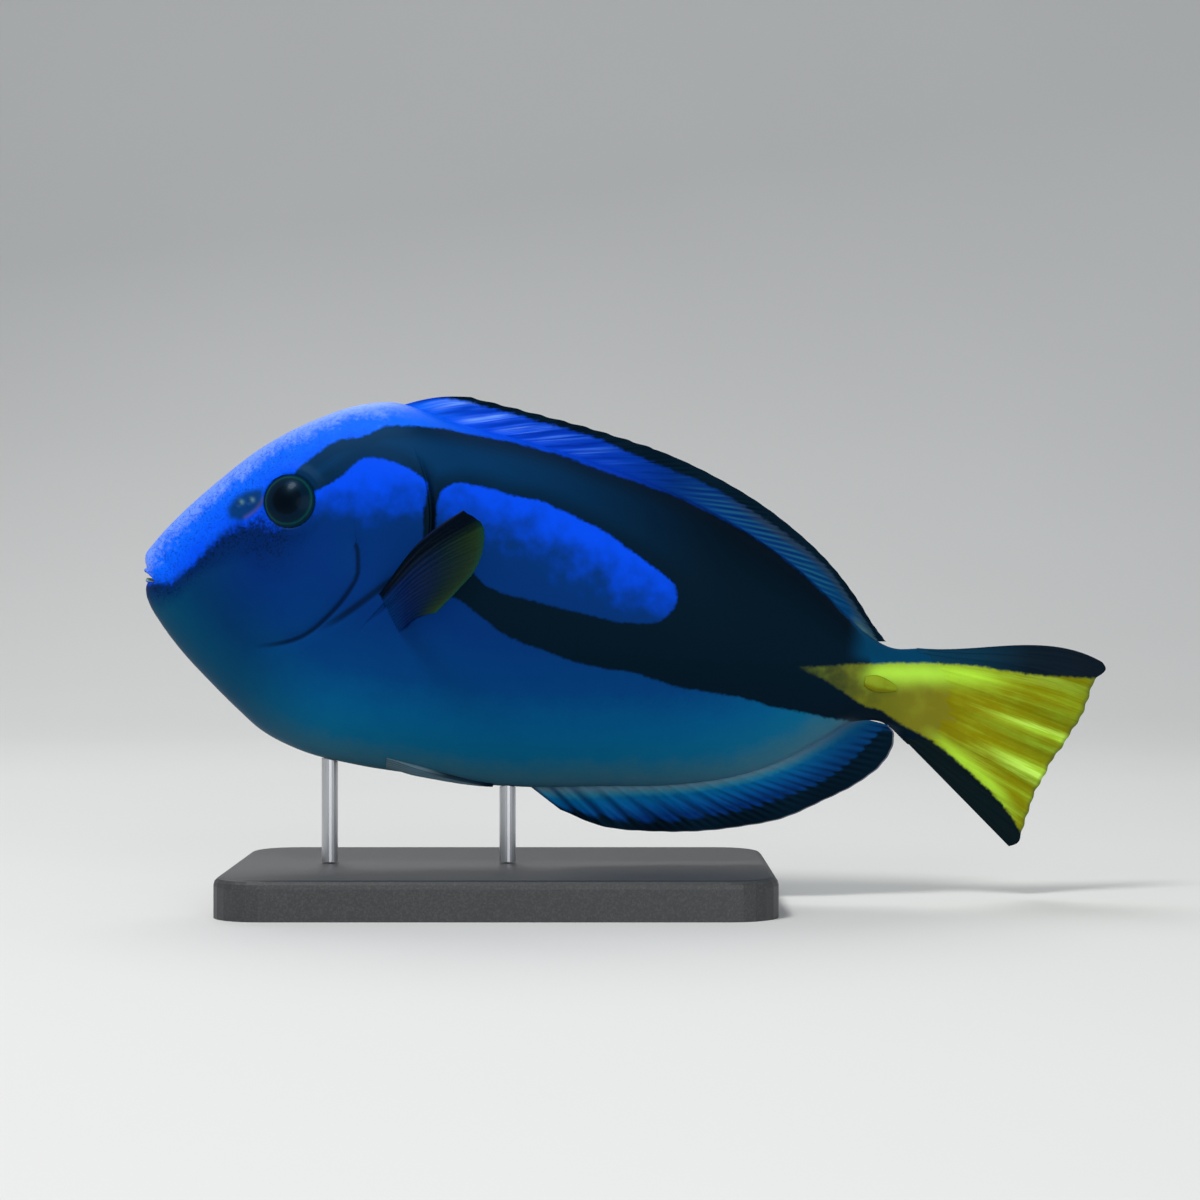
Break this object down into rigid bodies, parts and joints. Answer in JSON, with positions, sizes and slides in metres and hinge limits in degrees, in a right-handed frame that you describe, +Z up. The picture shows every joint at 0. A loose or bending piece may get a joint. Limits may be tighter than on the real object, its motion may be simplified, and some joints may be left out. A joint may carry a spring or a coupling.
{
  "type": "regal blue tang model on a display stand",
  "caption": "Life-size still model of a regal blue tang, a flat oval reef fish with spread side fins and a fan tail, held over a flat base by short upright rods.",
  "frame": {"origin": "middle of the stand base's flat underside", "axes": "+Z up from the base, +X from the fish's snout towards its tail, +Y towards the fish's right side"},
  "size_m": [0.2026, 0.0888, 0.105],
  "materials": {
    "blue_skin": "satin painted skin, royal blue passing to teal and grey below",
    "black_skin": "satin painted skin, blue-black",
    "yellow_skin": "satin painted skin, lemon yellow with dark margins",
    "blue_fin": "thin rayed membrane, blue with a black margin",
    "side_fin": "thin rayed membrane, dark blue with a black front edge and olive yellow tip",
    "eye": "polished glass eye, black with a thin green ring",
    "tail_spine": "smooth bone-like blade",
    "base": "matte dark grey plate",
    "rod": "brushed steel rod"
  },
  "bodies": {
    "root": {"head": "blue_skin", "torso": "black_skin", "tail_stem": "yellow_skin", "tail_fin": "yellow_skin", "dorsal_fin": "blue_fin", "anal_fin": "blue_fin", "pectoral_fin_left": "side_fin", "pectoral_fin_right": "side_fin", "pelvic_fin_left": "blue_fin", "pelvic_fin_right": "blue_fin", "eye_left": "eye", "eye_right": "eye", "tail_blade_left": "tail_spine", "tail_blade_right": "tail_spine", "stand_base": "base", "stand_rod_front": "rod", "stand_rod_rear": "rod"}
  },
  "joints": []
}
